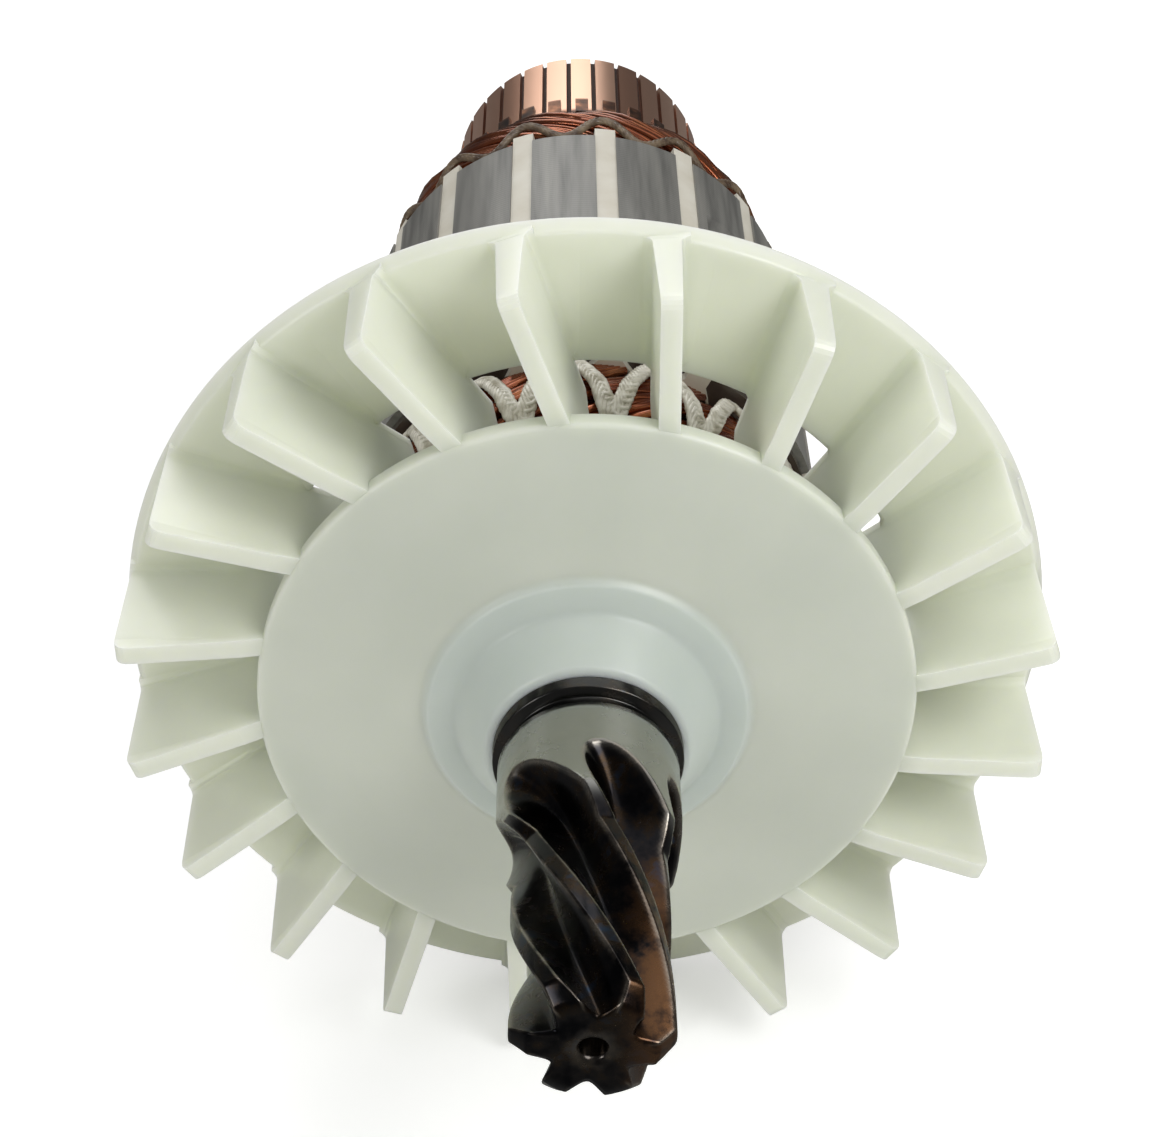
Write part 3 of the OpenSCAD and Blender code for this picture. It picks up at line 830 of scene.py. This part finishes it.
def round_wires(name, lines, radius, sides, copies, material):
    """Sweeps a circle along each line and repeats the lot round the shaft with Geometry Nodes."""
    tree = bpy.data.node_groups.new(name, "GeometryNodeTree")
    face = tree.interface
    face.new_socket("Geometry", in_out="INPUT", socket_type="NodeSocketGeometry")
    face.new_socket("Geometry", in_out="OUTPUT", socket_type="NodeSocketGeometry")
    sockets = {
        label: face.new_socket(label, in_out="INPUT", socket_type=kind).identifier
        for label, kind in (("Wire radius", "NodeSocketFloat"), ("Copies", "NodeSocketInt"))
    }
    source = add(tree, "NodeGroupInput")
    curve = add(tree, "GeometryNodeMeshToCurve", {"Mesh": source.outputs["Geometry"]})
    circle = add(
        tree, "GeometryNodeCurvePrimitiveCircle",
        {"Resolution": sides, "Radius": source.outputs["Wire radius"]}, mode="RADIUS",
    )
    swept = add(
        tree, "GeometryNodeCurveToMesh",
        {"Curve": curve.outputs[0], "Profile Curve": circle.outputs[0], "Fill Caps": True},
    )
    single = add(tree, "GeometryNodeGeometryToInstance", {"Geometry": swept.outputs[0]})
    repeated = add(
        tree, "GeometryNodeDuplicateElements",
        {"Geometry": single.outputs[0], "Amount": source.outputs["Copies"]}, domain="INSTANCE",
    )
    step = add(tree, "ShaderNodeMath", {0: math.tau, 1: source.outputs["Copies"]}, operation="DIVIDE")
    turn = product(tree, repeated.outputs["Duplicate Index"], step.outputs[0])
    axis = add(tree, "ShaderNodeCombineXYZ", {"Y": turn})
    placed = add(
        tree, "GeometryNodeRotateInstances",
        {"Instances": repeated.outputs[0], "Rotation": axis.outputs[0], "Local Space": False},
    )
    real = add(tree, "GeometryNodeRealizeInstances", {"Geometry": placed.outputs[0]})
    soft = add(tree, "GeometryNodeSetShadeSmooth", {"Geometry": real.outputs[0]})
    finish = add(tree, "GeometryNodeSetMaterial", {"Geometry": soft.outputs[0], "Material": material})
    add(tree, "NodeGroupOutput", {0: finish.outputs[0]})

    carrier = bpy.data.objects.new(name + "_lines", line_mesh(name + "_lines", lines))
    bpy.context.collection.objects.link(carrier)
    modifier = carrier.modifiers.new("wires", "NODES")
    modifier.node_group = tree
    modifier[sockets["Wire radius"]] = radius * MM
    modifier[sockets["Copies"]] = copies
    bpy.context.view_layer.update()
    ready = carrier.evaluated_get(bpy.context.evaluated_depsgraph_get())
    mesh = bpy.data.meshes.new_from_object(ready)
    mesh.name = name
    bpy.data.objects.remove(carrier)
    outward(mesh)
    return place_piece(mesh)


print("end turn mm", round(TURN_LENGTH, 1))

# %% [markdown]
# The wires of a bundle never lie quite parallel. Each starts at its own place in the bundle's
# section and wanders a little on its way, by a slow wave with its own phase.

# %% Model the end turns
WIRE_R = 0.46
rng = np.random.default_rng(7)


def bundle_places():
    """Places of the wires in a bundle's section, as (outwards, sideways) between -1 and 1."""
    places = []
    for row, n in enumerate((0.95, 0.45)):
        count = 6 - row
        places += [(n, (i + 0.5) * 2 / count - 1) for i in range(count)]
    places += [(n, t) for n in (0.0, -0.45) for t in (-0.85, 0.85)]
    places += [(-0.85, t) for t in (-0.7, 0.0, 0.7)]
    return places


def end_turn_wires(end, points=42):
    """Centre lines of the wires in the first coil's end turn."""
    lines = []
    for n, t in bundle_places():
        phase = rng.uniform(0, math.tau, 3)
        line = []
        for k in range(points):
            s = TURN_LENGTH * k / (points - 1)
            share = math.sin(math.pi * s / TURN_LENGTH)
            out = n * (HALF_DEPTH - WIRE_R) + 0.16 * math.sin(s * 0.45 + phase[0]) * share
            side = t * 0.86 + 0.14 * math.sin(s * 0.38 + phase[1]) * share
            squeeze = 0.55 + 0.45 * min(1.0, share * 3.0)
            line.append(on_coil(s, out, side * squeeze * FILL * PITCH / 2, end))
        lines.append(line)
    return lines


def filler(end, rows=40):
    """Dark heart of all the bundles at one end of the core, a painted shade for the gaps between the wires.
    """
    section = [(-1, 0.8), (0, 1), (1, 0.7), (1, -0.7), (0, -1), (-1, -0.8)]
    points, faces = [], []
    for coil in range(SLOTS):
        start = len(points)
        spin = Matrix.Rotation(coil * PITCH, 4, "Y")
        for k in range(rows):
            s = TURN_LENGTH * k / (rows - 1)
            squeeze = 0.5 + 0.5 * min(1.0, math.sin(math.pi * s / TURN_LENGTH) * 3)
            for n, t in section:
                aside = t * 0.8 * squeeze * FILL * PITCH / 2
                points.append(spin @ on_coil(s, n * (HALF_DEPTH - 1.0), aside, end))
        faces += ring_faces(rows, len(section), start)
        faces.append(tuple(range(start, start + len(section))))
        last = start + (rows - 1) * len(section)
        faces.append(tuple(range(last + len(section) - 1, last - 1, -1)))
    return points, faces


for end, where in enumerate(("front", "rear")):
    turns = round_wires(f"end_turns_{where}", end_turn_wires(end), WIRE_R, 7, SLOTS, wire)
    points, faces = filler(end)
    heart = new_piece(f"end_turn_filler_{where}", points, faces, varnish_and_gap_shade, smooth=False)
    outward(heart.data)
    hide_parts("winding")
    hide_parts("winding")
    print(turns.name, len(turns.data.polygons), "faces")

# %% [markdown]
# ## Lacing
#
# A braided cord is laced over the end turns in a zigzag, one stitch to a slot, and varnish
# stiffens it. Six yarns cross over and under each other along the zigzag. The front cord is
# drawn wider than its solid. The rear one keeps close to the core, in a shallow zigzag.

# %% Model the lacing
CORD_W, CORD_H = (1.9, 1.1), 0.95
LACING_WAVE = ((4.6, 3.8), (2.2, 1.5))
YARN_R = 0.3
BRAID_PITCH = 4.2


def on_lacing(turn, across, height, end):
    """Point on the cord: turn round the shaft, across its width and height over the coils."""
    wave = SLOTS * turn
    middle, swing = LACING_WAVE[end]
    reach = ARCH_CENTRE + ARCH_BEND + HALF_DEPTH
    rise = -swing * math.sin(wave) * SLOTS / reach
    slant = math.sqrt(1 + rise * rise)
    s = middle + swing * math.cos(wave) + across / slant
    r, up = turn_point(s, HALF_DEPTH + 0.1 + height)
    angle = math.radians(SLOT_ANGLE) + turn - across * rise / slant / r
    ahead = SLOT_ENDS[end] + (up if end == 0 else -up)
    return spot(r * MM, angle, ahead * MM)


def yarns(end, count=6):
    """Closed centre lines of the braid's yarns."""
    steps = 1400
    lengths = [0.0]
    previous = on_lacing(0, 0, 0, end)
    for k in range(1, steps + 1):
        here = on_lacing(math.tau * k / steps, 0, 0, end)
        lengths.append(lengths[-1] + (here - previous).length)
        previous = here
    crossings = round(lengths[-1] / MM / BRAID_PITCH)
    lines = []
    for y in range(count):
        line = []
        for k in range(steps + 1):
            phase = math.tau * (crossings * lengths[k] / lengths[-1] + y / count)
            across = (CORD_W[end] / 2 - YARN_R) * math.sin(phase)
            height = CORD_H / 2 + (CORD_H / 2 - YARN_R) * 0.55 * math.sin(2 * phase + 0.6)
            line.append(on_lacing(math.tau * k / steps, across, height, end))
        line[-1] = line[0].copy()
        lines.append(line)
    return lines


for end, where in enumerate(("front", "rear")):
    cord = round_wires(f"lacing_braid_{where}", yarns(end), YARN_R, 5, 1, braid)
    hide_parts(f"lacing_{where}")
    print(cord.name, len(cord.data.polygons), "faces")

# %% [markdown]
# ## Leads to the commutator
#
# Two wires leave the rear of the winding for every bar and are hooked round its riser. They
# fan in from the coils and lie close together in front of the hooks.

# %% Model the leads
TRACK_R = 16.2
HOOK_AT = ahead_of("commutator_hub") / MM - 1.6
LEAD_R = 0.42


def leads(per_bar=2, points=16):
    """Centre lines of the leads from the end turns to the hooks."""
    lines = []
    start_s = ARCH_LEG + math.pi * ARCH_BEND * 0.42
    for k in range(BARS):
        for i in range(per_bar):
            goal = math.radians(SLOT_ANGLE + (k + 0.5) * 360 / BARS + (i - 0.5) * 3.0)
            swing = math.radians(rng.uniform(14, 26))
            from_r, up = turn_point(start_s + rng.uniform(-1.0, 1.0), HALF_DEPTH - 0.1)
            from_ahead = SLOT_ENDS[1] - up
            sag = rng.uniform(-0.5, 0.5)
            line = []
            for j in range(points):
                t = j / (points - 1)
                ease = t * t * (3 - 2 * t)
                r = from_r + (TRACK_R + 0.45 - from_r) * ease + sag * math.sin(math.pi * t)
                ahead = from_ahead + (HOOK_AT - 0.6 - from_ahead) * t
                line.append(spot(r * MM, goal + swing * (1 - ease), ahead * MM))
            lines.append(line)
    return lines


lead_wires = round_wires("commutator_leads", leads(), LEAD_R, 7, 1, wire)
print(lead_wires.name, len(lead_wires.data.polygons), "faces")

# %% [markdown]
# ## Floor and light
#
# The armature is shown against white, lit by soft boxes. A pale floor at the fan's lowest point
# keeps a faint shadow. The Light Path node lets the camera see floor and sky whiter than the
# light they give, and lets bright metal reflect something darker, so that it keeps its contrast.

# %% Floor, backdrop and lamps
FLOOR_SIZE = 6
FLOOR_LIFT = 0.38


def pale_floor():
    """Matt painted board, lifted towards white for the camera and darker in reflections."""
    material, tree, shader = new_material("pale_floor", Roughness=0.9)
    patch = noise(tree, object_point(tree, 3), detail=2)
    paint = ramp(tree, patch, (0.3, srgb("F4F4F3")), (0.7, srgb("F8F8F7")))
    rays = add(tree, "ShaderNodeLightPath")
    in_metal = blend(tree, rays.outputs["Is Glossy Ray"], paint, srgb("7E7E7C"))
    tree.links.new(in_metal, shader.inputs["Base Color"])
    shader.inputs["Emission Color"].default_value = srgb("FFFFFF")
    lift = product(tree, rays.outputs["Is Camera Ray"], FLOOR_LIFT)
    tree.links.new(lift, shader.inputs["Emission Strength"])
    return material


def lamp(name, place, target, size, watts):
    """Square soft box aimed at a point."""
    data = bpy.data.lights.new(name, "AREA")
    data.size = size
    data.energy = watts
    holder = bpy.data.objects.new(name, data)
    bpy.context.collection.objects.link(holder)
    holder.location = place
    holder.rotation_euler = (Vector(target) - Vector(place)).to_track_quat("-Z", "Y").to_euler()


floor_z = fan_low.z
floor_mesh = bpy.data.meshes.new("floor")
corners = [(x * FLOOR_SIZE, y * FLOOR_SIZE, floor_z) for x, y in ((-1, -1), (1, -1), (1, 1), (-1, 1))]
floor_mesh.from_pydata(corners, [], [(0, 1, 2, 3)])
floor_mesh.materials.append(pale_floor())
floor = bpy.data.objects.new("floor", floor_mesh)
bpy.context.collection.objects.link(floor)

middle = (0, SHROUD_Y, 0)
lamp("key", (0.13, -0.11, 0.17), middle, 0.12, 0.24)
lamp("left", (-0.30, -0.24, 0.16), middle, 0.10, 0.22)
lamp("top", (0.2, 0.2, 1.6), middle, 1.4, 4.8)
lamp("behind", (-0.2, 1.2, 0.9), middle, 0.9, 6)

WORLD_LIGHT = 0.46
WORLD_IN_METAL = 0.12
world = bpy.data.worlds.new("studio")
bpy.context.scene.world = world
world.use_nodes = True
tree = world.node_tree
background = tree.nodes["Background"]
rays = add(tree, "ShaderNodeLightPath")
reflected = add(
    tree, "ShaderNodeMath",
    {0: rays.outputs["Is Glossy Ray"], 1: WORLD_IN_METAL - WORLD_LIGHT, 2: WORLD_LIGHT},
    operation="MULTIPLY_ADD",
)
seen = add(
    tree, "ShaderNodeMath",
    {0: reflected.outputs[0], 1: rays.outputs["Is Camera Ray"]}, operation="MAXIMUM",
)
background.inputs["Color"].default_value = srgb("FFFFFF")
tree.links.new(seen.outputs[0], background.inputs["Strength"])
bpy.context.scene.view_settings.view_transform = "Standard"
print("floor mm", round(floor_z / MM, 1))
